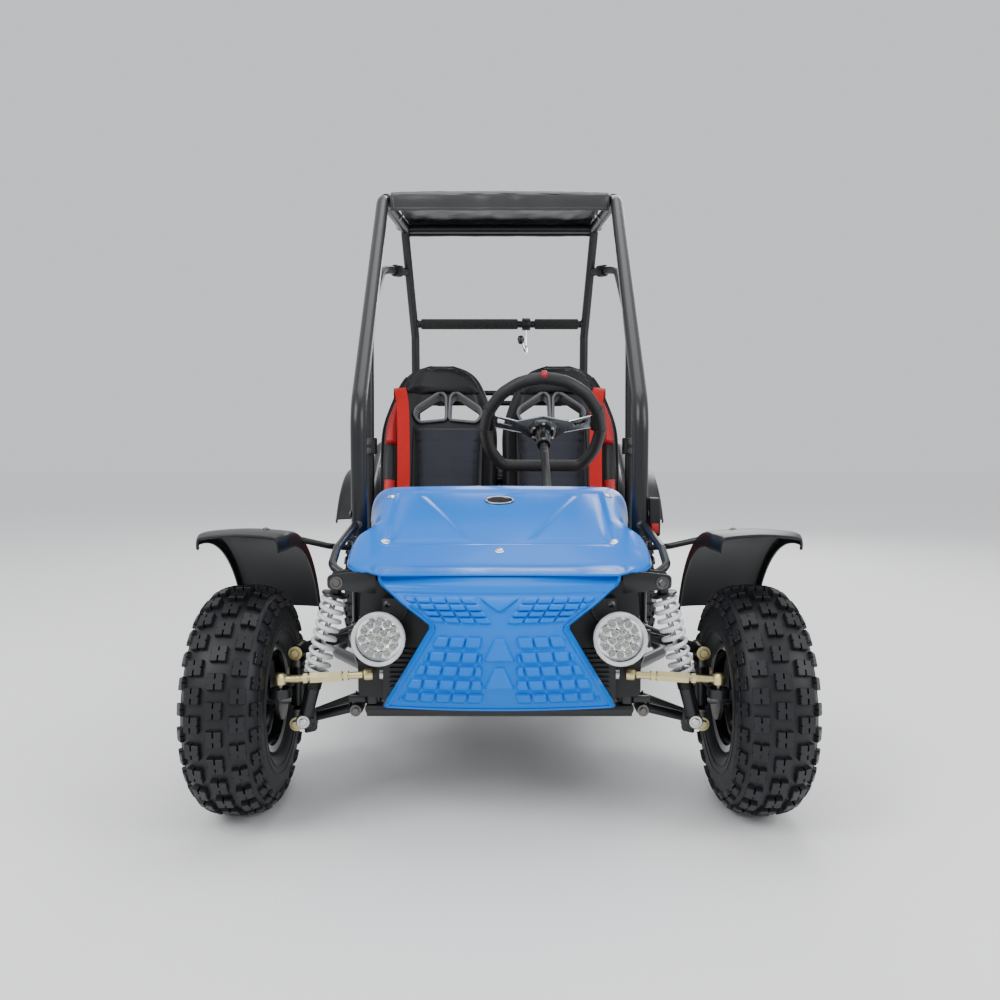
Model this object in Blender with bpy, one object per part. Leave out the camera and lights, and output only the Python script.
"""Youth two-seat off-road kart: tube chassis, roll cage, running gear, seats, body panels and drive.

Frame: +X to the viewer's right when facing the kart's nose, -Y forwards, +Z up.
The origin is on the ground, midway between the axles on the centre line. Sizes are in metres.
"""

import math

import bmesh
import bpy
from mathutils import Matrix, Vector

# ---------------------------------------------------------------- driving dimensions
GAP = 0.0003                    # clearance between pieces that touch
FRONT_AXLE_Y = -0.600
REAR_AXLE_Y = 0.600
TYRE_RADIUS = 0.203             # 16 inch tyre
RIM_SEAT_RADIUS = 0.089         # 7 inch rim
FRONT_TRACK_HALF = 0.456
FRONT_TYRE_HALF = 0.069
REAR_TRACK_HALF = 0.385
REAR_TYRE_HALF = 0.078
TYRE_STEPS = 20

FRAME_TUBE = 0.0125             # tube radii
CAGE_TUBE = 0.016
REAR_CAGE_TUBE = 0.0135
RAIL_X = 0.222
RAIL_Z = 0.200
NERF_X = 0.357                  # outer side rails
PILLAR_X = 0.278
PILLAR_Y = -0.420
PILLAR_FOOT_Z = 0.468
BULKHEAD_TOP_Z = 0.425
REAR_TOP_Z = 0.460
REAR_PILLAR_X = 0.272
REAR_PILLAR_Y = 0.760
REAR_PILLAR_FOOT_Z = 0.700
ROOF_FRONT = (0.310, 0.250, 1.300)
ROOF_REAR = (0.294, 0.655, 1.313)

ARM_INNER_X = 0.250             # front wishbone pivots; both arms are equal and parallel
ARM_OUTER_X = 0.362
LOWER_INNER_Z = 0.198
UPPER_INNER_Z = 0.326
ARM_DROP = 0.036
ARM_SPREAD = 0.038
TAB_SPREAD = 0.062
BOLT = 0.005
SHOCK_Y = -0.660
SHOCK_TOP = (0.278, 0.425)      # x, z
SHOCK_FOOT = (0.340, 0.180)
STEER_ARM_Y = -0.700
TIE_OUTER = (0.372, 0.262)
TIE_INNER = (0.214, 0.272)
RACK_Z = 0.272

WHEEL_HUB = Vector((0.107, 0.045, 0.688))
COLUMN_TILT = math.radians(30)
COLUMN_LENGTH = 0.812
WHEEL_RIM_RADIUS = 0.144
WHEEL_FLAT = 0.104              # hub to the flat bottom of the steering wheel

SWING_PIVOT = (0.315, 0.235)    # y, z
SWING_LEG_X = 0.128
CHAIN_X = -0.158
REAR_SPROCKET_RADIUS = 0.072
DRIVE_SPROCKET_RADIUS = 0.024
REAR_SHOCK_TOP = (0.725, 0.500)
REAR_SHOCK_FOOT = (0.675, 0.235)

SEAT_X = 0.170
SIDES = (("left", -1), ("right", 1))

X_AXIS, Y_AXIS, Z_AXIS = Vector((1, 0, 0)), Vector((0, 1, 0)), Vector((0, 0, 1))


# ---------------------------------------------------------------- modelling helpers
def clear_scene():
    for item in list(bpy.data.objects):
        bpy.data.objects.remove(item)


def material(name, colour, roughness, metallic=0.0):
    made = bpy.data.materials.get(name) or bpy.data.materials.new(name)
    made.use_nodes = True
    shader = made.node_tree.nodes["Principled BSDF"]
    shader.inputs["Base Color"].default_value = (*colour, 1.0)
    shader.inputs["Roughness"].default_value = roughness
    shader.inputs["Metallic"].default_value = metallic
    return made


def object_from(bm, name="piece"):
    bmesh.ops.recalc_face_normals(bm, faces=bm.faces)
    mesh = bpy.data.meshes.new(name)
    bm.to_mesh(mesh)
    bm.free()
    made = bpy.data.objects.new(name, mesh)
    bpy.context.collection.objects.link(made)
    return made


def evaluated_mesh(item):
    graph = bpy.context.evaluated_depsgraph_get()
    mesh = bpy.data.meshes.new_from_object(item.evaluated_get(graph))
    mesh.transform(item.matrix_world)
    return mesh


def bent(points, radius, steps=2):
    """The points of a path with each corner rounded by an arc."""
    points = [Vector(p) for p in points]
    path = [points[0]]
    for before, corner, after in zip(points, points[1:], points[2:]):
        into, out = (corner - before).normalized(), (after - corner).normalized()
        angle = into.angle(out)
        if angle < 0.01:
            path.append(corner)
            continue
        reach = min(radius * math.tan(angle / 2), (corner - before).length * 0.49,
                    (after - corner).length * 0.49)
        start = corner - into * reach
        centre = start + (out - into * into.dot(out)).normalized() * (reach / math.tan(angle / 2))
        axis = into.cross(out).normalized()
        for step in range(steps + 1):
            path.append(centre + Matrix.Rotation(angle * step / steps, 3, axis) @ (start - centre))
    path.append(points[-1])
    return path


def tube(points, radius, sides=6, bend=0.05):
    """A round bar along a bent path, with flat ends."""
    curve = bpy.data.curves.new("tube", "CURVE")
    curve.dimensions = "3D"
    path = bent(points, bend)
    spline = curve.splines.new("POLY")
    spline.points.add(len(path) - 1)
    for point, place in zip(spline.points, path):
        point.co = (*place, 1.0)
    curve.bevel_depth = radius
    curve.bevel_resolution = (sides - 4) // 2
    curve.use_fill_caps = True
    guide = bpy.data.objects.new("guide", curve)
    bpy.context.collection.objects.link(guide)
    bm = bmesh.new()
    bm.from_mesh(evaluated_mesh(guide))
    bpy.data.objects.remove(guide)
    bmesh.ops.remove_doubles(bm, verts=bm.verts, dist=1e-6)
    return object_from(bm, "tube")


def block(low, high):
    bm = bmesh.new()
    bmesh.ops.create_cube(bm, size=1.0)
    low, high = Vector(low), Vector(high)
    size = high - low
    bmesh.ops.transform(bm, matrix=Matrix.Translation((low + high) / 2) @ Matrix.Diagonal((*size, 1)),
                        verts=bm.verts)
    return object_from(bm, "block")


def tab(x_range, y, z, half_height, thickness=0.006):
    """A small upright plate across Y."""
    return block((min(x_range), y - thickness / 2, z - half_height),
                 (max(x_range), y + thickness / 2, z + half_height))


def turned(profile, centre, axis, steps=16, phase=0.0):
    """A closed outline of (along, radius) points turned about an axis through the centre."""
    axis = Vector(axis).normalized()
    side = axis.orthogonal().normalized()
    if abs(axis.x) > 0.9:
        side = Z_AXIS.copy()
    side = Matrix.Rotation(phase, 3, axis) @ side
    bm = bmesh.new()
    ring = [bm.verts.new(Vector(centre) + axis * along + side * radius) for along, radius in profile]
    edges = [bm.edges.new((a, b)) for a, b in zip(ring, ring[1:] + ring[:1])]
    bmesh.ops.spin(bm, geom=ring + edges, cent=centre, axis=axis, dvec=(0, 0, 0),
                   angle=2 * math.pi, steps=steps, use_merge=True, use_duplicate=False)
    bmesh.ops.remove_doubles(bm, verts=bm.verts, dist=1e-6)
    bmesh.ops.dissolve_degenerate(bm, dist=1e-7, edges=bm.edges)
    return object_from(bm, "turned")


def sleeve(centre, axis, outer, inner, length, steps=8):
    half = length / 2
    profile = [(-half, inner), (-half, outer), (half, outer), (half, inner)]
    return turned(profile, centre, axis, steps)


def extruded(outline, normal_axis, low, high):
    """A flat outline in the plane across normal_axis ("X", "Y" or "Z"), pulled from low to high."""
    bm = bmesh.new()
    place = {
        "X": lambda u, v, d: (d, u, v),
        "Y": lambda u, v, d: (u, d, v),
        "Z": lambda u, v, d: (u, v, d),
    }[normal_axis]
    face = bm.faces.new([bm.verts.new(place(u, v, low)) for u, v in outline])
    pulled = bmesh.ops.extrude_face_region(bm, geom=[face])
    moved = [v for v in pulled["geom"] if isinstance(v, bmesh.types.BMVert)]
    bmesh.ops.translate(bm, verts=moved, vec=Vector(place(0, 0, high)) - Vector(place(0, 0, low)))
    return object_from(bm, "extruded")


def loft(sections):
    """A closed skin over sections that all have the same number of points."""
    bm = bmesh.new()
    rings = [[bm.verts.new(p) for p in section] for section in sections]
    count = len(rings[0])
    for one, two in zip(rings, rings[1:]):
        for i in range(count):
            j = (i + 1) % count
            bm.faces.new((one[i], one[j], two[j], two[i]))
    bm.faces.new(rings[0])
    bm.faces.new(reversed(rings[-1]))
    return object_from(bm, "loft")


def combine(pieces, operation="UNION"):
    """The pieces joined into the first one, or cut out of it; the others are removed."""
    base, *others = pieces
    for other in others:
        joint = base.modifiers.new(other.name, "BOOLEAN")
        joint.operation = operation
        joint.solver = "EXACT"
        joint.object = other
    mesh = evaluated_mesh(base)
    for item in pieces:
        bpy.data.objects.remove(item)
    made = bpy.data.objects.new("combined", mesh)
    bpy.context.collection.objects.link(made)
    return made


def named(item, name, surface, origin=(0, 0, 0), crease=35):
    """Gives a finished piece its node name, its material and its origin."""
    item.name = name
    item.data.name = name
    item.data.materials.clear()
    item.data.materials.append(surface)
    item.data.transform(Matrix.Translation(-Vector(origin)))
    item.location = origin
    item.data.shade_smooth()
    item.data.set_sharp_from_angle(angle=math.radians(crease))
    return item


def named_pair(right, name, surface, origin=(0, 0, 0)):
    """Names the piece on the right, whose origin is given, and its mirror image on the left."""
    copy = bpy.data.objects.new("copy", right.data.copy())
    bpy.context.collection.objects.link(copy)
    copy.data.transform(Matrix.Diagonal((-1, 1, 1, 1)))
    copy.data.flip_normals()
    named(right, name + "_right", surface, origin)
    named(copy, name + "_left", surface, (-origin[0], origin[1], origin[2]))


# ---------------------------------------------------------------- chassis frame
def lower_frame(surface):
    pieces = []
    for _, side in SIDES:
        x = side * RAIL_X
        pieces.append(tube([(x, FRONT_AXLE_Y - TAB_SPREAD, RAIL_Z), (x, 0.300, RAIL_Z)], FRAME_TUBE))
        pieces.append(tube([(x, -0.45, RAIL_Z), (side * NERF_X, -0.25, RAIL_Z),
                            (side * NERF_X, 0.28, RAIL_Z),
                            (side * NERF_X, 0.28, 0.30)], FRAME_TUBE))
        pieces.append(tube([(x, PILLAR_Y, RAIL_Z), (side * PILLAR_X, PILLAR_Y, RAIL_Z + 0.02),
                            (side * PILLAR_X, PILLAR_Y, 0.30)], FRAME_TUBE, bend=0.02))
    for y, half, z in ((-0.662, RAIL_X + 0.008, RAIL_Z), (-0.538, RAIL_X, RAIL_Z), (-0.15, NERF_X, RAIL_Z),
                       (0.0, NERF_X, 0.215), (0.24, NERF_X, RAIL_Z)):
        pieces.append(tube([(-half, y, z), (half, y, z)], FRAME_TUBE))
    return named(combine(pieces), "lower_frame", surface)


def front_frame(surface):
    """Bulkhead that carries the wishbones, the shock towers and the feet of the front pillars."""
    pieces = []
    ends = (FRONT_AXLE_Y - TAB_SPREAD, FRONT_AXLE_Y + TAB_SPREAD)
    foot = RAIL_Z + FRAME_TUBE + GAP
    for _, side in SIDES:
        x = side * RAIL_X
        pieces.append(tube([(x, ends[0], foot), (x, ends[0], BULKHEAD_TOP_Z), (x, -0.50, BULKHEAD_TOP_Z),
                            (side * PILLAR_X, PILLAR_Y, BULKHEAD_TOP_Z)], FRAME_TUBE, bend=0.02))
        pieces.append(tube([(x, ends[1], foot), (x, ends[1], BULKHEAD_TOP_Z)], FRAME_TUBE))
        pieces.append(tube([(side * PILLAR_X, PILLAR_Y, 0.30 + GAP),
                            (side * PILLAR_X, PILLAR_Y, PILLAR_FOOT_Z - GAP)], CAGE_TUBE, sides=10))
        for z in (LOWER_INNER_Z + 0.012, UPPER_INNER_Z):
            for y in ends:
                bottom = max(z - 0.014, foot) if z < 0.3 else z - 0.014
                pieces.append(block((min(x, side * 0.262), y - 0.004, bottom),
                                    (max(x, side * 0.262), y + 0.004, z + 0.014)))
        for y in (SHOCK_Y - 0.0185, SHOCK_Y + 0.0185):
            pieces.append(tab((side * 0.215, side * 0.292), y, SHOCK_TOP[1], 0.013, 0.005))
        pieces.append(tube([(side * SHOCK_TOP[0], SHOCK_Y - 0.022, SHOCK_TOP[1]),
                            (side * SHOCK_TOP[0], SHOCK_Y + 0.022, SHOCK_TOP[1])], BOLT))
        pieces.append(tube([(side * ARM_INNER_X, ends[0] - 0.007, UPPER_INNER_Z),
                            (side * ARM_INNER_X, ends[1] + 0.007, UPPER_INNER_Z)], BOLT))
    for y in ends:
        pieces.append(tube([(-RAIL_X, y, BULKHEAD_TOP_Z), (RAIL_X, y, BULKHEAD_TOP_Z)], FRAME_TUBE))
    return named(combine(pieces), "front_frame", surface)


def rear_frame(surface):
    """Rails that rise behind the seats, the engine cradle, the swing-arm tabs and the bumper."""
    pieces = []
    start = 0.300 + GAP
    for _, side in SIDES:
        x = side * RAIL_X
        pieces.append(tube([(x, start, RAIL_Z), (x, 0.350, RAIL_Z), (x, 0.365, REAR_TOP_Z),
                            (side * REAR_PILLAR_X, REAR_PILLAR_Y, REAR_TOP_Z),
                            (side * REAR_PILLAR_X, REAR_PILLAR_Y, REAR_PILLAR_FOOT_Z - GAP)],
                            REAR_CAGE_TUBE))
        pieces.append(tube([(side * 0.09, 0.26, RAIL_Z + 0.03), (side * 0.09, 0.31, 0.29),
                            (side * 0.09, 0.66, 0.29),
                            (side * 0.09, REAR_PILLAR_Y, REAR_TOP_Z)], FRAME_TUBE, bend=0.04))
        pieces.append(tube([(side * 0.09, 0.2665, 0.235), (side * 0.150, 0.2665, 0.235)], 0.010))
        pieces.append(block((min(side * 0.145, side * 0.151), 0.258, 0.222),
                            (max(side * 0.145, side * 0.151), 0.330, 0.248)))
    for y, z in ((0.365, REAR_TOP_Z), (REAR_PILLAR_Y, REAR_TOP_Z)):
        half = RAIL_X if y < 0.5 else REAR_PILLAR_X
        pieces.append(tube([(-half, y, z), (half, y, z)], FRAME_TUBE))
    pieces.append(tube([(-0.250, REAR_PILLAR_Y, REAR_TOP_Z), (-0.220, 0.788, 0.350), (0.220, 0.788, 0.350),
                        (0.250, REAR_PILLAR_Y, REAR_TOP_Z)], FRAME_TUBE))
    pieces.append(tube([(-0.1505, *SWING_PIVOT), (0.150, *SWING_PIVOT)], 0.006))
    pieces.append(tube([(-0.170, *SWING_PIVOT), (-0.147, *SWING_PIVOT)], 0.006))
    ear = [(0.768, 0.457), (0.768, 0.514), (0.712, 0.514), (0.712, 0.492), (0.7515, 0.492), (0.7515, 0.457)]
    for x in (-0.0185, 0.0185):
        pieces.append(extruded(ear, "X", x - 0.0025, x + 0.0025))
    pieces.append(tube([(-0.022, *REAR_SHOCK_TOP), (0.022, *REAR_SHOCK_TOP)], BOLT))
    return named(combine(pieces), "rear_frame", surface)


def front_hoop(surface):
    """Front pillars and roof rails with the bar that joins them above the drivers' heads."""
    pieces = []
    for _, side in SIDES:
        roof = (side * ROOF_FRONT[0], *ROOF_FRONT[1:])
        rear = (side * ROOF_REAR[0], ROOF_REAR[1] - REAR_CAGE_TUBE - 0.0006, ROOF_REAR[2])
        foot = (side * PILLAR_X, PILLAR_Y, PILLAR_FOOT_Z)
        pieces.append(tube([foot, (side * PILLAR_X, PILLAR_Y, 0.726), roof, rear], CAGE_TUBE, sides=10,
                           bend=0.10))
        pieces.append(turned([(0, 0.0), (0, 0.027), (0.006, 0.027), (0.006, 0.0)], foot, Z_AXIS, 10))
    y, z = ROOF_FRONT[1] + 0.02, ROOF_FRONT[2]
    pieces.append(tube([(-0.308, y, z), (0.308, y, z)], CAGE_TUBE * 0.96, sides=10))
    return named(combine(pieces), "front_hoop", surface)


def rear_hoop(surface):
    """Rear pillars, the rear roof bar and the bar behind the head rests."""
    path = []
    for side in (-1, 1):
        x = side * REAR_PILLAR_X
        half = [(x, REAR_PILLAR_Y, REAR_PILLAR_FOOT_Z), (x, REAR_PILLAR_Y, REAR_PILLAR_FOOT_Z + 0.03),
                (x, 0.745, 0.990), (side * ROOF_REAR[0], *ROOF_REAR[1:])]
        path += half if side < 0 else reversed(half)
    pieces = [tube(path, REAR_CAGE_TUBE, bend=0.012),
              tube([(-0.274, 0.735, 1.030), (0.274, 0.735, 1.030)], 0.012)]
    for side in (-1, 1):
        foot = (side * REAR_PILLAR_X, REAR_PILLAR_Y, REAR_PILLAR_FOOT_Z)
        pieces.append(turned([(0, 0.0), (0, 0.024), (0.005, 0.024), (0.005, 0.0)], foot, Z_AXIS, 10))
    return named(combine(pieces), "rear_hoop", surface)


def side_bar():
    """Tube beside a seat, from the rear pillar forwards and down to the outer rail, with the fender rail."""
    main_bar = tube([(0.2945, 0.677, 1.185), (NERF_X, 0.595, 1.180), (NERF_X, 0.300, 0.980),
                     (NERF_X, 0.28, 0.62), (NERF_X, 0.28, 0.30 + GAP)], FRAME_TUBE, bend=0.09)
    rail = tube([(NERF_X, 0.28, 0.520), (NERF_X, 0.500, 0.640), (0.3055, 0.735, 0.690)], 0.011)
    clamp = sleeve((NERF_X, 0.28, 0.645), Z_AXIS, 0.021, 0.006, 0.045, 10)
    return combine([main_bar, rail, clamp])


def floor_pan(surface):
    low = RAIL_Z + FRAME_TUBE + GAP
    pieces = [block((-0.205, -0.515, low), (0.205, -0.018, low + 0.003))]
    for x in (0.030, 0.180):
        for side in (-1, 1):
            pieces.append(block((x + side * 0.018 - 0.002, -0.455, low),
                                (x + side * 0.018 + 0.002, -0.425, 0.245)))
        pieces.append(tube([(x - 0.022, -0.44, 0.235), (x + 0.022, -0.44, 0.235)], 0.004))
    return named(combine(pieces), "floor_pan", surface)


# ---------------------------------------------------------------- body panels and roof
def skin(rows, thickness):
    """A curved sheet through rows of points, thickened downwards into a closed shell."""
    bm = bmesh.new()
    grid = [[bm.verts.new(p) for p in row] for row in rows]
    for one, two in zip(grid, grid[1:]):
        for a, b, c, d in zip(one, one[1:], two[1:], two):
            bm.faces.new((a, b, c, d))
    bmesh.ops.recalc_face_normals(bm, faces=bm.faces)
    sheet = object_from(bm, "skin")
    thick = sheet.modifiers.new("thickness", "SOLIDIFY")
    thick.thickness = thickness
    thick.offset = 0.0
    thick.use_even_offset = True
    mesh = evaluated_mesh(sheet)
    bpy.data.objects.remove(sheet)
    made = bpy.data.objects.new("skin", mesh)
    bpy.context.collection.objects.link(made)
    return made


def hood(surface):
    """Bonnet between the front pillars, bowed across, with turned-down sides."""
    rows = []
    stations = ((-0.330, 0.572, 0.222, 0.030), (-0.360, 0.571, 0.238, 0.050), (-0.455, 0.545, 0.246, 0.060),
                (-0.540, 0.515, 0.262, 0.045), (-0.610, 0.480, 0.272, 0.014), (-0.665, 0.456, 0.240, 0.004))
    for y, crown, half, drop in stations:
        row = []
        for step in range(-6, 7):
            t = step / 6
            x = half * math.sin(abs(t) * math.pi / 2) ** 0.8 * (1 if t > 0 else -1) if step else 0.0
            z = crown - 0.010 * t * t - drop * max(0.0, (abs(t) - 0.6) / 0.4) ** 2
            row.append((x, y, z))
        rows.append(row)
    return named(skin(rows, 0.003), "hood", surface)


def nose_cover(surface):
    """Hourglass shield in front of the bulkhead, bulged forwards."""
    rows = []
    for z, half, y in ((0.442, 0.196, -0.736), (0.425, 0.190, -0.752), (0.398, 0.140, -0.778),
                       (0.360, 0.104, -0.785),
                       (0.320, 0.130, -0.782), (0.270, 0.165, -0.770), (0.222, 0.188, -0.745)):
        rows.append([(half * t / 3, y + 0.018 * (t / 3) ** 2, z) for t in range(-3, 4)])
    return named(skin(rows, 0.004), "nose_cover", surface)


def front_box(surface):
    """Bent panel in front of the bulkhead that the lamps and the steering rack are fixed to."""
    outline = [(-0.640, 0.223), (-0.717, 0.223), (-0.717, 0.402), (-0.640, 0.402), (-0.640, 0.405),
               (-0.720, 0.405),
               (-0.720, 0.220), (-0.640, 0.220)]
    pieces = [extruded(outline, "X", -0.195, 0.195)]
    for x in (-0.120, 0.120):
        pieces.append(sleeve((x, STEER_ARM_Y, RACK_Z), X_AXIS, 0.015, 0.0100, 0.040, 10))
        pieces.append(block((x - 0.015, STEER_ARM_Y - 0.008, 0.2215),
                            (x + 0.015, STEER_ARM_Y + 0.008, RACK_Z - 0.0115)))
    return named(combine(pieces), "front_box", surface)


def headlight():
    profile = [(0.0, 0.0), (0.0, 0.030), (0.020, 0.043), (0.043, 0.044), (0.043, 0.040), (0.046, 0.0)]
    return turned(profile, (0.197, -0.7205, 0.345), (0, -1, 0), 20)


def canopy(surface):
    """Roof cloth over the roof bars, turned down over the front and rear bars."""
    front, rear, top = ROOF_FRONT[1] - 0.012, ROOF_REAR[1] + 0.030, ROOF_FRONT[2] + 0.030
    line = [(front, 1.272), (front - 0.002, 1.300), (front + 0.006, 1.318), (front + 0.030, top - 0.004),
            (0.35, top), (0.46, top + 0.002), (0.57, top + 0.006), (rear - 0.022, top + 0.010),
            (rear - 0.004, top - 0.006), (rear, 1.300)]
    rows = []
    for y, z in line:
        rows.append([(0.289 * t / 4, y, z - (0.004 * (t / 4) ** 2 if z > 1.31 else 0))
                     for t in range(-4, 5)])
    return named(skin(rows, 0.003), "canopy", surface)


def front_fender():
    """Arched guard above and behind a front wheel, with its bracket to the shock tower."""
    rows = []
    for step in range(10):
        angle = math.radians(100 - step * 8.6)
        row = []
        for x, inward in ((0.374, 0.026), (0.376, 0.006), (0.390, 0.0), (0.455, -0.006), (0.520, 0.0),
                          (0.533, 0.006), (0.535, 0.020)):
            radius = 0.300 - inward
            row.append((x, FRONT_AXLE_Y + radius * math.cos(angle), TYRE_RADIUS + radius * math.sin(angle)))
        rows.append(row)
    bracket = tube([(PILLAR_X + 0.0165, -0.442, 0.455), (0.330, -0.470, 0.462), (0.420, -0.500, 0.4895)],
                   0.007)
    return combine([skin(rows, 0.003), bracket])


def rear_fender():
    """Domed guard above a rear wheel, hung from the fender rail."""
    rows = []
    for step in range(9):
        angle = math.radians(146 - step * 11.5)
        row = []
        for x, inward in ((0.306, 0.026), (0.310, 0.006), (0.326, 0.0), (0.388, -0.006), (0.450, 0.0),
                          (0.464, 0.006), (0.466, 0.022)):
            radius = 0.300 - inward
            row.append((x, REAR_AXLE_Y + radius * math.cos(angle), 0.270 + radius * math.sin(angle)))
        rows.append(row)
    bracket = tube([(0.345, 0.600, 0.573), (0.345, 0.600, 0.6475)], 0.007)
    return combine([skin(rows, 0.003), bracket])


# ---------------------------------------------------------------- seats
def seat():
    """Bucket seat: cushion and high back in one shell, with raised sides and a narrow head rest."""
    # spine y, z; lean of the surface normal from up towards the front; half width; side height; depth
    stations = ((-0.105, 0.290, -20, 0.140, 0.002, 0.040), (-0.090, 0.322, 0, 0.150, 0.012, 0.070),
                (0.000, 0.320, 3, 0.156, 0.030, 0.072), (0.110, 0.308, 6, 0.160, 0.038, 0.066),
                (0.195, 0.316, 35, 0.162, 0.044, 0.058), (0.240, 0.385, 62, 0.162, 0.050, 0.046),
                (0.272, 0.470, 67, 0.160, 0.052, 0.040), (0.325, 0.590, 66, 0.162, 0.052, 0.040),
                (0.366, 0.680, 66, 0.162, 0.042, 0.040), (0.396, 0.748, 66, 0.140, 0.022, 0.040),
                (0.428, 0.822, 67, 0.118, 0.006, 0.040), (0.450, 0.874, 72, 0.090, 0.002, 0.030))
    sections = []
    for y, z, lean, half, side, depth in stations:
        tilt = math.radians(lean)
        normal = Vector((0, -math.sin(tilt), math.cos(tilt)))
        outline = [(-half * 0.94, -depth), (-half, -depth * 0.3), (-half * 0.97, side),
                   (-half * 0.80, side),
                   (-half * 0.60, 0), (0, -0.003), (half * 0.60, 0), (half * 0.80, side),
                   (half * 0.97, side),
                   (half, -depth * 0.3), (half * 0.94, -depth)]
        sections.append([Vector((SEAT_X + u, y, z)) + normal * v for u, v in outline])
    return loft(sections)


# ---------------------------------------------------------------- drive
def engine(surface):
    """Single-cylinder engine on the cradle, with its blower housing and belt-drive case."""
    base = 0.29 + FRAME_TUBE + GAP
    pieces = [block((-0.105, 0.435, base), (0.120, 0.600, 0.420)),
              block((-0.070, 0.545, 0.330), (0.075, 0.652, 0.500)),
              turned([(0.110, 0.0), (0.110, 0.080), (0.165, 0.080), (0.178, 0.055), (0.178, 0.0)],
                     (0, 0.520, 0.390), X_AXIS, 16),
              tube([(-0.100, 0.500, 0.375), (-0.176, 0.500, 0.375)], 0.034)]
    outline = []
    (y0, z0), (y1, z1) = SWING_PIVOT, (0.500, 0.375)
    along = math.atan2(z1 - z0, y1 - y0)
    for centre, radius, start in (((y0, z0), 0.048, along + math.pi / 2),
                                  ((y1, z1), 0.066, along - math.pi / 2)):
        for step in range(7):
            angle = start + math.pi * step / 6
            outline.append((centre[0] + radius * math.cos(angle), centre[1] + radius * math.sin(angle)))
    pieces.append(extruded(outline, "X", -0.203, -0.174))
    return named(combine(pieces), "engine", surface)


def fuel_tank(surface):
    low = 0.505
    pieces = [loft([[(x0, y0, z), (x1, y0, z), (x1, y1, z), (x0, y1, z)] for x0, x1, y0, y1, z in
                    ((-0.095, 0.120, 0.440, 0.600, low), (-0.110, 0.135, 0.430, 0.615, low + 0.015),
                     (-0.110, 0.135, 0.430, 0.615, low + 0.065),
                     (-0.090, 0.115, 0.445, 0.598, low + 0.082))]),
              turned([(0, 0.0), (0, 0.024), (0.018, 0.024), (0.018, 0.0)], (0.06, 0.52, low + 0.080),
                     Z_AXIS, 14),
              block((-0.060, 0.460, 0.420 + GAP), (0.070, 0.535, low + 0.005))]
    return named(combine(pieces), "fuel_tank", surface)


def muffler(surface):
    can = turned([(0, 0.0), (0, 0.036), (0.010, 0.042), (0.170, 0.042), (0.180, 0.036), (0.180, 0.0)],
                 (0.045, 0.712, 0.590), X_AXIS, 16)
    pipe = tube([(0.060, 0.652 + GAP, 0.470), (0.060, 0.680, 0.470), (0.075, 0.704, 0.500),
                 (0.075, 0.708, 0.570)], 0.011)
    tail = tube([(0.200, 0.712, 0.590), (0.245, 0.712, 0.590), (0.250, 0.740, 0.575)], 0.010, bend=0.02)
    return named(combine([can, pipe, tail]), "muffler", surface)


# ---------------------------------------------------------------- steering and controls
def steering_wheel(surface):
    """D-shaped rim with a flat bottom, a hub and two spokes, square to the column."""
    tilt = Matrix.Rotation(COLUMN_TILT, 3, "X")
    start = math.asin(WHEEL_FLAT / WHEEL_RIM_RADIUS)

    def place(u, v, depth=0.0):
        return WHEEL_HUB + tilt @ Vector((u, depth, v))

    arc = [(-start) + (math.pi + 2 * start) * step / 20 for step in range(21)]
    ring = [place(WHEEL_RIM_RADIUS * math.cos(a), WHEEL_RIM_RADIUS * math.sin(a)) for a in arc]
    sections = []
    count = len(ring)
    for i, point in enumerate(ring):
        ahead = (ring[(i + 1) % count] - ring[i - 1]).normalized()
        out = ahead.cross(tilt @ Y_AXIS).normalized()
        sections.append([point + out * 0.013 * math.cos(b) + (tilt @ Y_AXIS) * 0.013 * math.sin(b)
                         for b in [math.pi * k / 4 for k in range(8)]])
    bm = bmesh.new()
    rings = [[bm.verts.new(p) for p in section] for section in sections]
    for one, two in zip(rings, rings[1:] + rings[:1]):
        for i in range(8):
            bm.faces.new((one[i], one[(i + 1) % 8], two[(i + 1) % 8], two[i]))
    rim = object_from(bm, "rim")
    hub = turned([(-0.014, 0.0), (-0.014, 0.034), (0.010, 0.034), (0.010, 0.0)], WHEEL_HUB, tilt @ Y_AXIS,
                 14)
    spokes = []
    for side in (-1, 1):
        end = place(side * 0.140, 0.030)
        start_point = place(side * 0.020, -0.004)
        across = tilt @ Z_AXIS * 0.017
        deep = tilt @ Y_AXIS * 0.0025
        spokes.append(loft([[p + across + deep, p - across + deep, p - across - deep, p + across - deep]
                            for p in (start_point, end)]))
    return named(combine([rim, hub, *spokes]), "steering_wheel", surface, WHEEL_HUB)


def steering_column(surface):
    down = Vector((0, -math.cos(COLUMN_TILT), -math.sin(COLUMN_TILT)))
    start = WHEEL_HUB + down * (0.014 + GAP)
    shaft = tube([start, WHEEL_HUB + down * COLUMN_LENGTH], 0.010)
    collar = turned([(0, 0.0), (0, 0.020), (0.060, 0.016), (0.060, 0.0)], start, down, 12)
    return named(combine([collar, shaft]), "steering_column", surface, WHEEL_HUB)


def steering_rack(surface):
    rack = turned([(-0.203, 0.0), (-0.203, 0.009), (0.203, 0.009), (0.203, 0.0)], (0, STEER_ARM_Y, RACK_Z),
                  X_AXIS, 10)
    return named(rack, "steering_rack", surface)


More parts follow.
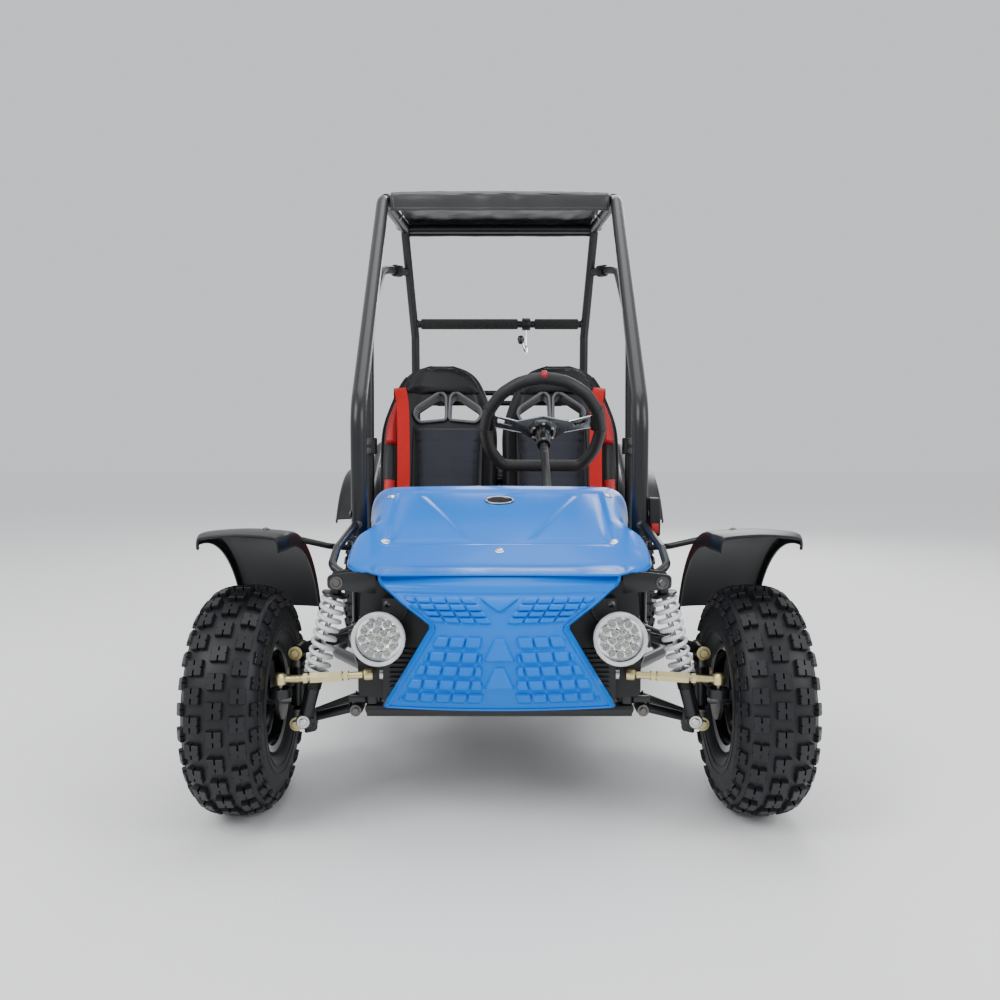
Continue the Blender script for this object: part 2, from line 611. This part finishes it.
def tie_rod():
    """Track rod with a lock sleeve; its outer end drops a ball stud into the steering arm's socket."""
    outer = Vector((TIE_OUTER[0], STEER_ARM_Y, TIE_OUTER[1]))
    inner = Vector((TIE_INNER[0], STEER_ARM_Y, TIE_INNER[1]))
    along = (outer - inner).normalized()
    length = (outer - inner).length
    rod = turned([(0.0, 0.0), (0.0, 0.010), (0.016, 0.010), (0.020, 0.006), (0.060, 0.006), (0.062, 0.009),
                  (0.100, 0.009), (0.102, 0.006), (length - 0.006, 0.006), (length - 0.006, 0.0)],
                 inner, along, 8)
    eye = turned([(-0.009, 0.0), (-0.009, 0.012), (0.009, 0.012), (0.009, 0.0)], outer, Z_AXIS, 10)
    stud = turned([(-0.026, 0.0), (-0.026, 0.004), (0.0, 0.004), (0.0, 0.0)], outer, Z_AXIS, 8)
    return combine([rod, eye, stud])


def pedal(surface, name, x, pad_half):
    pivot = Vector((x, -0.44, 0.235))
    pieces = [sleeve(pivot, X_AXIS, 0.010, 0.0050, 0.026, 10),
              block((x - 0.006, -0.447, 0.243), (x + 0.006, -0.441, 0.330)),
              block((x - pad_half, -0.441, 0.300), (x + pad_half, -0.432, 0.365))]
    return named(combine(pieces), name, surface, pivot)


def shift_lever(surface):
    """Gear lever whose sleeve turns on the bar behind the head rests."""
    pivot = Vector((0.085, 0.735, 1.030))
    arm = [pivot + Vector((0, 0, -0.018)), pivot + Vector((0, -0.004, -0.075)),
           pivot + Vector((0, -0.050, -0.105)),
           pivot + Vector((-0.018, -0.054, -0.055))]
    pieces = [sleeve(pivot, X_AXIS, 0.020, 0.0132, 0.026, 12), tube(arm, 0.005, bend=0.015),
              turned([(-0.012, 0.0), (-0.012, 0.008), (0.008, 0.011), (0.014, 0.006), (0.014, 0.0)],
                     arm[-1], Z_AXIS, 10)]
    return named(combine(pieces), "shift_lever", surface, pivot)


# ---------------------------------------------------------------- front running gear
def wishbone(inner_z, foot=False):
    """A-shaped arm: two bosses on the frame's bolt, one at the wheel end, and for the lower arm a shock stud."""
    inner = [Vector((ARM_INNER_X, FRONT_AXLE_Y + s * ARM_SPREAD, inner_z)) for s in (-1, 1)]
    outer = Vector((ARM_OUTER_X, FRONT_AXLE_Y, inner_z - ARM_DROP))
    pieces = [sleeve(point, Y_AXIS, 0.0115, 0.0, 0.028, 8) for point in inner]
    pieces.append(sleeve(outer, Y_AXIS, 0.0125, 0.0, 0.030, 8))
    for s, point in zip((-1, 1), inner):
        pieces.append(tube([point, outer + Vector((0, s * 0.006, 0))], 0.0085))
    if foot:
        x, z = SHOCK_FOOT
        pieces.append(block((x - 0.012, -0.626, z - 0.030), (x + 0.012, -0.618, z + 0.010)))
        pieces.append(block((x - 0.012, -0.626, z - 0.026), (x + 0.012, -0.600, z - 0.014)))
        pieces.append(tube([(x, -0.620, z), (x, SHOCK_Y - 0.013, z)], BOLT))
    arm = combine(pieces)
    reach = 0.060
    bores = [tube([point - Y_AXIS * reach, point + Y_AXIS * reach], 0.0063, sides=10)
             for point in (Vector((ARM_INNER_X, FRONT_AXLE_Y, inner_z)), outer)]
    return combine([arm, *bores], "DIFFERENCE")


def kingpin():
    """Post between the wishbones' outer ends, with a forked bolt at each end."""
    x, y = ARM_OUTER_X, FRONT_AXLE_Y
    low, high = LOWER_INNER_Z - ARM_DROP, UPPER_INNER_Z - ARM_DROP
    pieces = [tube([(x, y, low + 0.022), (x, y, high - 0.022)], 0.008)]
    for pivot, inward in ((low, 1), (high, -1)):
        plate = sorted((pivot + inward * 0.0215, pivot + inward * 0.0262))
        pieces.append(block((x - 0.008, y - 0.028, plate[0]), (x + 0.008, y + 0.028, plate[1])))
        ears = sorted((pivot - inward * 0.009, pivot + inward * 0.024))
        for s in (-1, 1):
            middle = y + s * 0.0245
            pieces.append(block((x - 0.008, middle - 0.0035, ears[0]),
                                (x + 0.008, middle + 0.0035, ears[1])))
        pieces.append(tube([(x, y - 0.0275, pivot), (x, y + 0.0275, pivot)], BOLT))
    return combine(pieces)


def knuckle():
    """Steering knuckle: a sleeve on the kingpin, the wheel's spindle and the steering arm with its socket."""
    x, y = ARM_OUTER_X, FRONT_AXLE_Y
    pieces = [sleeve((x, y, 0.2262), Z_AXIS, 0.017, 0.003, 0.073, 10),
              tube([(x, y, TYRE_RADIUS), (FRONT_TRACK_HALF + 0.048, y, TYRE_RADIUS)], 0.0125, sides=10),
              tube([(x, y - 0.008, 0.242), (0.368, y - 0.045, 0.242),
                    (TIE_OUTER[0], STEER_ARM_Y + 0.010, 0.239)], 0.008),
              turned([(0.0, 0.0), (0.0, 0.019), (0.016, 0.019), (0.016, 0.0)],
                     (TIE_OUTER[0], STEER_ARM_Y, 0.232), Z_AXIS, 10)]
    socket = tube([(TIE_OUTER[0], STEER_ARM_Y, 0.220), (TIE_OUTER[0], STEER_ARM_Y, 0.260)], 0.0145,
                  sides=10)
    bore = tube([(x, y, 0.170), (x, y, 0.280)], 0.0090, sides=10)
    return combine([combine(pieces), bore, socket], "DIFFERENCE")


def tyre(centre, half):
    """A hollow ring, open at the rim, whose lowest facet lies flat on the ground."""
    corner = TYRE_RADIUS / math.cos(math.pi / TYRE_STEPS)
    bead = RIM_SEAT_RADIUS + 0.0012
    middle, height = (corner + bead) / 2, (corner - bead) / 2

    def arc(width, tall, steps):
        points = []
        for step in range(steps + 1):
            angle = -math.pi / 2 + 0.55 + (2 * math.pi - 1.1) * step / steps
            along, out = math.sin(angle - math.pi / 2), math.cos(angle - math.pi / 2)
            points.append((width * math.copysign(abs(along) ** 0.8, along),
                           middle + tall * math.copysign(abs(out) ** 0.8, out)))
        return points

    tread = 0.004
    outside = [(a, corner if r > corner - tread else max(r, bead)) for a, r in arc(half, height, 11)]
    inside = [(a, max(r, bead)) for a, r in arc(half - 0.011, height - 0.011, 6)]
    return turned(outside + inside[::-1], centre, X_AXIS, TYRE_STEPS, phase=math.pi / TYRE_STEPS)


def rim(centre, half, bore):
    """Steel wheel: two flanges, bead seats, a drop centre and a dished disc with its hub."""
    seat, flange, well, wall = RIM_SEAT_RADIUS, RIM_SEAT_RADIUS + 0.010, RIM_SEAT_RADIUS - 0.012, 0.004
    profile = [(-half, flange), (-half + 0.004, seat), (-half * 0.55, seat), (-half * 0.35, well),
               (half * 0.35, well),
               (half * 0.55, seat), (half - 0.004, seat), (half, flange), (half, seat - wall),
               (half * 0.58, seat - wall), (half * 0.38, well - wall), (0.018, well - wall), (0.026, 0.034),
               (0.040, bore), (-0.030, bore), (0.010, well - wall), (-half * 0.38, well - wall),
               (-half, seat - wall)]
    return turned(profile, centre, X_AXIS, 12)


def coil_over(top, foot, eye_axis, spring_radius, spring_span, rod_reach, travel):
    """A damper in three pieces: the top eye with the rod, the body with the foot eye, and the spring."""
    top, foot = Vector(top), Vector(foot)
    down = (foot - top).normalized()
    length = (foot - top).length
    start, end = spring_span
    rod = [sleeve(top, eye_axis, 0.0115, 0.0030, 0.022, 10),
           turned([(0.009, 0.0), (0.009, 0.009), (start - 0.004, 0.010),
                   (start - 0.004, spring_radius + 0.001),
                   (start, spring_radius + 0.001), (start, 0.005), (rod_reach, 0.005), (rod_reach, 0.0)],
                   top, down, 10)]
    rod = combine([combine(rod), tube([top - eye_axis * 0.02, top + eye_axis * 0.02], 0.0060, sides=10)],
                  "DIFFERENCE")
    mouth = rod_reach - travel - 0.010
    body = [sleeve(foot, eye_axis, 0.0140, 0.0030, 0.020, 10),
            turned([(length - 0.010, 0.0), (length - 0.010, 0.012), (end + 0.004, 0.014),
                    (end + 0.004, spring_radius + 0.001), (end, spring_radius + 0.001), (end, 0.0115),
                    (mouth, 0.0115), (mouth, 0.0065), (rod_reach + travel + 0.003, 0.0065),
                    (rod_reach + travel + 0.003, 0.0)], top, down, 10)]
    body = combine([combine(body), tube([foot - eye_axis * 0.02, foot + eye_axis * 0.02], 0.0090,
                                        sides=10)], "DIFFERENCE")
    turns, wire = 6, 0.0036
    steps = turns * 8
    side = eye_axis.cross(down).normalized()
    other = down.cross(side).normalized()
    path = []
    for step in range(steps + 1):
        angle = 2 * math.pi * step / 8
        depth = start + wire + GAP + (end - start - 2 * wire - 2 * GAP) * step / steps
        out = side * math.cos(angle) + other * math.sin(angle)
        path.append(top + down * depth + out * (spring_radius - wire))
    spring = tube(path, wire, sides=4, bend=0.0)
    return rod, body, spring


# ---------------------------------------------------------------- rear running gear
def swing_arm(surface):
    """Two legs from the pivot tube to the axle bearings, with a cross tube behind for the shock."""
    pieces = [sleeve((0, *SWING_PIVOT), X_AXIS, 0.014, 0.004, 0.284, 12)]
    for _, side in SIDES:
        x = side * SWING_LEG_X
        pieces.append(tube([(x, *SWING_PIVOT), (x, REAR_AXLE_Y, TYRE_RADIUS), (x, 0.655, 0.205),
                            (side * 0.094, 0.672, 0.2068)], FRAME_TUBE, bend=0.02))
        pieces.append(sleeve((x, REAR_AXLE_Y, TYRE_RADIUS), X_AXIS, 0.030, 0.005, 0.034, 14))
    pieces.append(tube([(-0.107, 0.672, 0.207), (0.107, 0.672, 0.207)], FRAME_TUBE * 0.96))
    pieces.append(tube([(-SWING_LEG_X, 0.420, 0.224), (SWING_LEG_X, 0.420, 0.224)], 0.010))
    y, z = REAR_SHOCK_FOOT
    for x in (-0.0165, 0.0165):
        pieces.append(block((x - 0.0025, y - 0.012, 0.2015), (x + 0.0025, y + 0.012, z + 0.010)))
    pieces.append(tube([(-0.018, y, z), (0.018, y, z)], BOLT))
    bores = [tube([(-0.161, *SWING_PIVOT), (0.161, *SWING_PIVOT)], 0.0075, sides=8),
             tube([(-0.161, REAR_AXLE_Y, TYRE_RADIUS), (0.161, REAR_AXLE_Y, TYRE_RADIUS)], 0.0145,
                  sides=10)]
    return named(combine([combine(pieces), *bores], "DIFFERENCE"), "swing_arm", surface, (0, *SWING_PIVOT))


def rear_axle(surface):
    """Live axle with the chain sprocket, the brake disc and the two wheel flanges."""
    centre = (0, REAR_AXLE_Y, TYRE_RADIUS)
    end = REAR_TRACK_HALF + 0.046
    profile = [(-end, 0.0), (-end, 0.0125), (CHAIN_X - 0.003, 0.0125),
               (CHAIN_X - 0.003, REAR_SPROCKET_RADIUS),
               (CHAIN_X + 0.003, REAR_SPROCKET_RADIUS), (CHAIN_X + 0.003, 0.0125), (0.165, 0.0125),
               (0.165, 0.080),
               (0.169, 0.080), (0.169, 0.0125), (end, 0.0125), (end, 0.0)]
    return named(turned(profile, centre, X_AXIS, 20), "rear_axle", surface, centre)


def drive_sprocket(surface):
    centre = (CHAIN_X, *SWING_PIVOT)
    profile = [(-0.003, 0.0068), (-0.003, DRIVE_SPROCKET_RADIUS), (0.003, DRIVE_SPROCKET_RADIUS),
               (0.003, 0.0068)]
    return named(turned(profile, centre, X_AXIS, 16), "drive_sprocket", surface, centre)


def chain(surface):
    """The roller chain as one closed loop around both sprockets."""
    (y0, z0), (y1, z1) = SWING_PIVOT, (REAR_AXLE_Y, TYRE_RADIUS)
    r0, r1 = DRIVE_SPROCKET_RADIUS + 0.0012, REAR_SPROCKET_RADIUS + 0.0012
    span = math.hypot(y1 - y0, z1 - z0)
    along = math.atan2(z1 - z0, y1 - y0)
    lean = math.acos((r1 - r0) / span)

    def loop(extra):
        points = []
        turn = math.pi - lean
        for centre, radius, first, last, steps in (((y0, z0), r0, turn, 2 * math.pi - turn, 8),
                                                   ((y1, z1), r1, -turn, turn, 16)):
            for step in range(steps + 1):
                angle = along + first + (last - first) * step / steps
                points.append((centre[0] + (radius + extra) * math.cos(angle),
                               centre[1] + (radius + extra) * math.sin(angle)))
        return points

    outer = extruded(loop(0.007), "X", CHAIN_X - 0.004, CHAIN_X + 0.004)
    inner = extruded(loop(0.0), "X", CHAIN_X - 0.008, CHAIN_X + 0.008)
    return named(combine([outer, inner], "DIFFERENCE"), "chain", surface)


def main():
    clear_scene()
    black_paint = material("black_paint", (0.015, 0.015, 0.017), 0.35)
    blue = material("blue_plastic", (0.010, 0.050, 0.450), 0.12)
    black_plastic = material("black_plastic", (0.020, 0.020, 0.022), 0.50)
    vinyl = material("black_vinyl", (0.020, 0.020, 0.024), 0.45)
    rubber = material("rubber", (0.018, 0.018, 0.019), 0.70)
    steel = material("steel", (0.55, 0.55, 0.56), 0.30, 1.0)
    zinc = material("zinc_gold", (0.60, 0.47, 0.22), 0.35, 1.0)
    white_paint = material("white_paint", (0.80, 0.80, 0.78), 0.25)
    alloy = material("alloy", (0.50, 0.50, 0.50), 0.45, 1.0)
    lens = material("lens", (0.80, 0.82, 0.85), 0.10)
    red_paint = material("red_paint", (0.45, 0.02, 0.02), 0.30)

    lower_frame(black_paint)
    front_frame(black_paint)
    rear_frame(black_paint)
    front_hoop(black_paint)
    rear_hoop(black_paint)
    named_pair(side_bar(), "side_bar", black_paint)
    floor_pan(black_plastic)
    hood(blue)
    nose_cover(blue)
    front_box(black_plastic)
    named_pair(headlight(), "headlight", lens)
    canopy(vinyl)
    named_pair(front_fender(), "front_fender", black_plastic)
    named_pair(rear_fender(), "rear_fender", black_plastic)
    named_pair(seat(), "seat", vinyl)
    engine(alloy)
    fuel_tank(black_plastic)
    muffler(steel)

    steering_wheel(black_plastic)
    steering_column(black_paint)
    steering_rack(steel)
    named_pair(tie_rod(), "tie_rod", zinc, (TIE_INNER[0], STEER_ARM_Y, TIE_INNER[1]))
    shift_lever(steel)
    pedal(black_paint, "brake_pedal", 0.030, 0.030)
    pedal(black_paint, "throttle_pedal", 0.180, 0.022)

    named_pair(wishbone(LOWER_INNER_Z, foot=True), "lower_arm", black_paint,
               (ARM_INNER_X, FRONT_AXLE_Y, LOWER_INNER_Z))
    named_pair(wishbone(UPPER_INNER_Z), "upper_arm", black_paint,
               (ARM_INNER_X, FRONT_AXLE_Y, UPPER_INNER_Z))
    named_pair(kingpin(), "kingpin", steel, (ARM_OUTER_X, FRONT_AXLE_Y, LOWER_INNER_Z - ARM_DROP))
    named_pair(knuckle(), "knuckle", black_paint, (ARM_OUTER_X, FRONT_AXLE_Y, TYRE_RADIUS))
    hub = (FRONT_TRACK_HALF, FRONT_AXLE_Y, TYRE_RADIUS)
    named_pair(tyre(hub, FRONT_TYRE_HALF), "front_tyre", rubber, hub)
    named_pair(rim(hub, 0.052, 0.0135), "front_rim", steel, hub)

    front_shock = ((SHOCK_TOP[0], SHOCK_Y, SHOCK_TOP[1]), (SHOCK_FOOT[0], SHOCK_Y, SHOCK_FOOT[1]))
    front_pieces = coil_over(*front_shock, Y_AXIS, 0.0225, (0.026, 0.170), 0.192, 0.016)
    for piece, name, surface, origin in zip(front_pieces,
                                            ("front_shock_rod", "front_shock_body", "front_spring"),
                                            (steel, black_paint, white_paint), (front_shock[0],) * 3):
        named_pair(piece, name, surface, origin)
    rear_shock = coil_over((0, *REAR_SHOCK_TOP), (0, *REAR_SHOCK_FOOT), X_AXIS, 0.0260, (0.026, 0.175),
                           0.192, 0.038)
    for piece, name, surface in zip(rear_shock, ("rear_shock_rod", "rear_shock_body", "rear_spring"),
                                    (steel, black_paint, white_paint)):
        named(piece, name, surface, (0, *REAR_SHOCK_TOP))
    swing_arm(black_paint)
    rear_axle(steel)
    drive_sprocket(steel)
    chain(steel)
    hub = (REAR_TRACK_HALF, REAR_AXLE_Y, TYRE_RADIUS)
    named_pair(tyre(hub, REAR_TYRE_HALF), "rear_tyre", rubber, hub)
    named_pair(rim(hub, 0.058, 0.0130), "rear_rim", steel, hub)


main()
